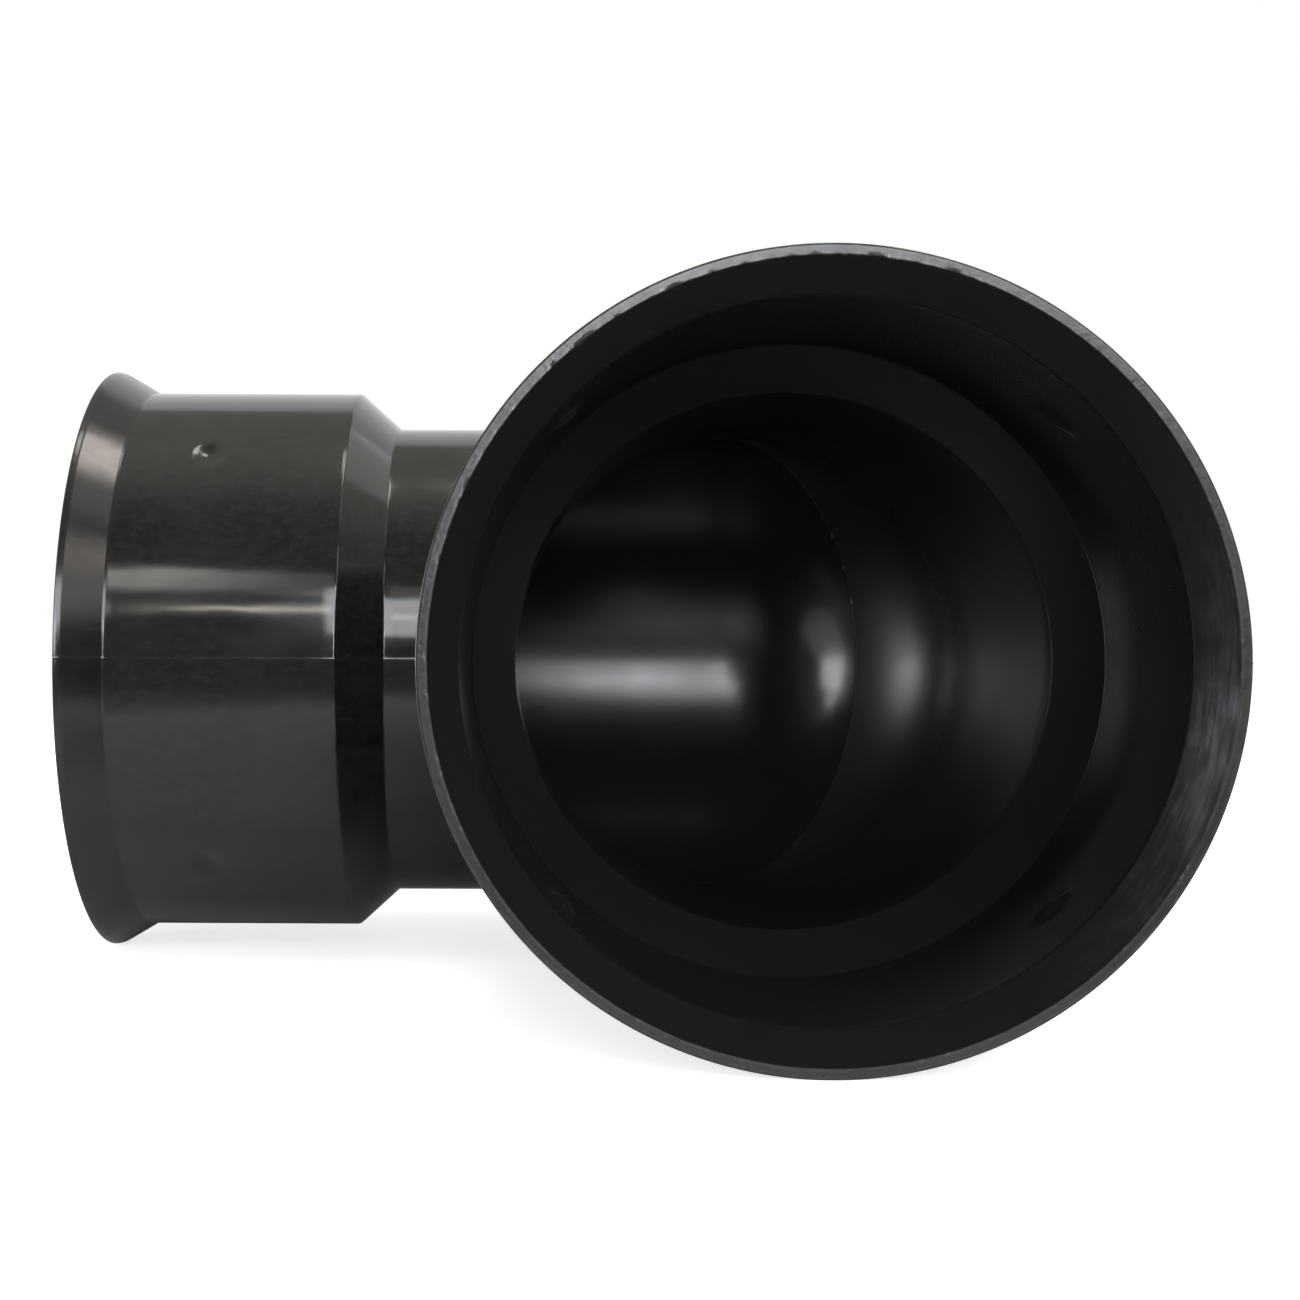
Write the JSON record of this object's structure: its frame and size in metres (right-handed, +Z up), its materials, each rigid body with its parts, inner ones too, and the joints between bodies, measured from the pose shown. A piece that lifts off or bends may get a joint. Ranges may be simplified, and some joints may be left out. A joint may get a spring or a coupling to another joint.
{
  "type": "drain pipe elbow",
  "caption": "Black plastic quarter-bend drain pipe elbow with a flared socket on each leg, moulded in one piece.",
  "frame": {"origin": "under the middle of the elbow's box, on the floor that it lies on", "axes": "the elbow lies on its side with both pipe axes level and +Z up; the near leg's mouth faces -Y and the other leg's mouth faces -X; the axes cross at (0.03988, 0.03988, 0.06799)"},
  "size_m": [0.2162, 0.2162, 0.136],
  "materials": {
    "black_plastic": "black polyethylene with a satin gloss from the mould"
  },
  "bodies": {
    "root": {"pipe_elbow": "black_plastic"}
  },
  "joints": []
}
